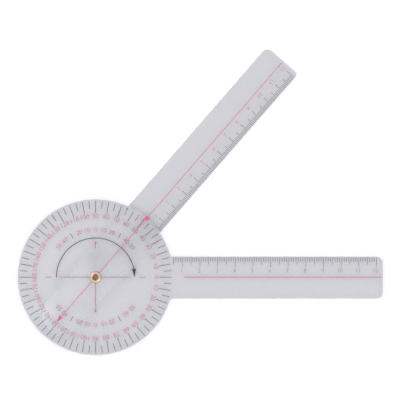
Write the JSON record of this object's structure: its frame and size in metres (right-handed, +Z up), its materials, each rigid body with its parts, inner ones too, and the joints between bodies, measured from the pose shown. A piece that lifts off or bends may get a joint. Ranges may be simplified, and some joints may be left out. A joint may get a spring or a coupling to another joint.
{
  "type": "goniometer",
  "caption": "Clear plastic physiotherapy goniometer: a round degree protractor with a fixed ruler arm, and a second ruler arm that turns over it on a brass rivet.",
  "frame": {"origin": "on the pivot axis, in the plane of the rivet's flat head, which is the lowest face", "axes": "+X runs from the pivot along the fixed arm, +Z points up out of the printed faces, +Y is towards the fixed arm's ruler edge"},
  "size_m": [0.2069, 0.1729, 0.0049],
  "materials": {
    "clear_plastic": "clear rigid sheet, polished, with rounded edges",
    "rivet_brass": "bright, formed by the setting tool",
    "washer_nylon": "milky natural nylon",
    "black_ink": "screen-printed ink film",
    "red_ink": "screen-printed ink film"
  },
  "bodies": {
    "protractor": {"protractor_body": "clear_plastic", "pivot_rivet": "rivet_brass", "friction_washer": "washer_nylon", "degree_ticks_long": "black_ink", "degree_ticks_short": "black_ink", "inner_scale_ticks": "black_ink", "zero_dashes": "red_ink", "horizontal_line": "red_ink", "vertical_arrows": "red_ink", "sweep_arrow": "black_ink", "fixed_arm_hairline": "red_ink", "fixed_arm_mm_ticks": "black_ink", "fixed_arm_half_cm_ticks": "black_ink", "fixed_arm_cm_ticks": "black_ink"},
    "arm": {"moving_arm": "clear_plastic", "moving_arm_hairline": "red_ink", "marker_dot": "red_ink", "moving_arm_mm_ticks": "black_ink", "moving_arm_half_cm_ticks": "black_ink", "moving_arm_cm_ticks": "black_ink"}
  },
  "joints": [
    {"name": "arm_pivot", "type": "hinge", "parent": "protractor", "child": "arm", "pos_m": [0, 0, 0], "axis": [0, 0, 1], "continuous": true}
  ]
}
